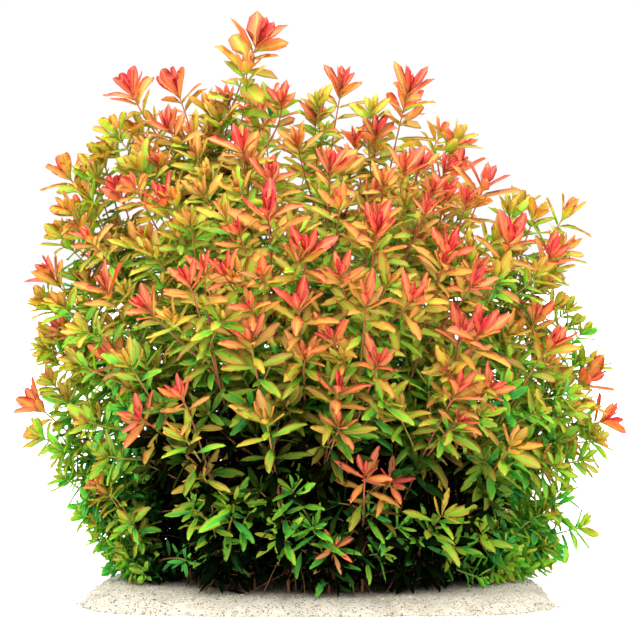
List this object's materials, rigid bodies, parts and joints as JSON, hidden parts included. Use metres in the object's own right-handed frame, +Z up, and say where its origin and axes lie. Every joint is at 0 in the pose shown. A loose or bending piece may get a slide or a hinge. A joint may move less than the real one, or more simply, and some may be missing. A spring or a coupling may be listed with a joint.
{
  "type": "green rotala macrandra aquarium plant",
  "caption": "Dense dome-shaped bush of leafy branching water-plant stems, red at the tips and green below, rooted in a thin bed of pale sand.",
  "frame": {"origin": "middle of the sand bed's flat underside", "axes": "+Z up, along the growing stems; X across the wide side of the bush, to the right as the picture shows it; the side in the picture faces -Y"},
  "size_m": [0.3911, 0.3079, 0.367],
  "materials": {
    "sand": "matte",
    "leaf_warm": "satin",
    "leaf_olive": "satin",
    "leaf_green": "satin"
  },
  "bodies": {
    "root": {"sand_bed": "sand", "shoot_01": "leaf_warm", "shoot_02": "leaf_warm", "shoot_03": "leaf_warm", "shoot_04": "leaf_warm", "shoot_05": "leaf_warm", "shoot_06": "leaf_warm", "shoot_07": "leaf_warm", "shoot_08": "leaf_warm", "shoot_09": "leaf_olive", "shoot_10": "leaf_green", "shoot_11": "leaf_green", "shoot_12": "leaf_green", "shoot_13": "leaf_olive", "shoot_14": "leaf_green", "shoot_15": "leaf_green", "shoot_16": "leaf_warm", "shoot_17": "leaf_warm", "shoot_18": "leaf_warm", "shoot_19": "leaf_warm", "shoot_20": "leaf_olive", "shoot_21": "leaf_olive", "shoot_22": "leaf_olive", "shoot_23": "leaf_olive", "shoot_24": "leaf_olive", "shoot_25": "leaf_olive", "shoot_26": "leaf_olive", "shoot_27": "leaf_olive", "shoot_28": "leaf_olive", "shoot_29": "leaf_olive", "shoot_30": "leaf_olive", "shoot_31": "leaf_olive", "shoot_32": "leaf_olive", "shoot_33": "leaf_olive", "shoot_34": "leaf_green", "shoot_35": "leaf_green", "shoot_36": "leaf_green", "shoot_37": "leaf_green", "shoot_38": "leaf_green", "shoot_39": "leaf_green", "shoot_40": "leaf_green", "shoot_41": "leaf_warm", "shoot_42": "leaf_warm", "shoot_43": "leaf_warm", "shoot_44": "leaf_warm", "shoot_45": "leaf_warm", "shoot_46": "leaf_olive", "shoot_47": "leaf_olive", "shoot_48": "leaf_olive", "shoot_49": "leaf_olive", "shoot_50": "leaf_olive", "shoot_51": "leaf_olive", "shoot_52": "leaf_olive", "shoot_53": "leaf_olive", "shoot_54": "leaf_olive", "shoot_55": "leaf_green", "shoot_56": "leaf_green", "shoot_57": "leaf_green", "shoot_58": "leaf_green"}
  },
  "joints": []
}
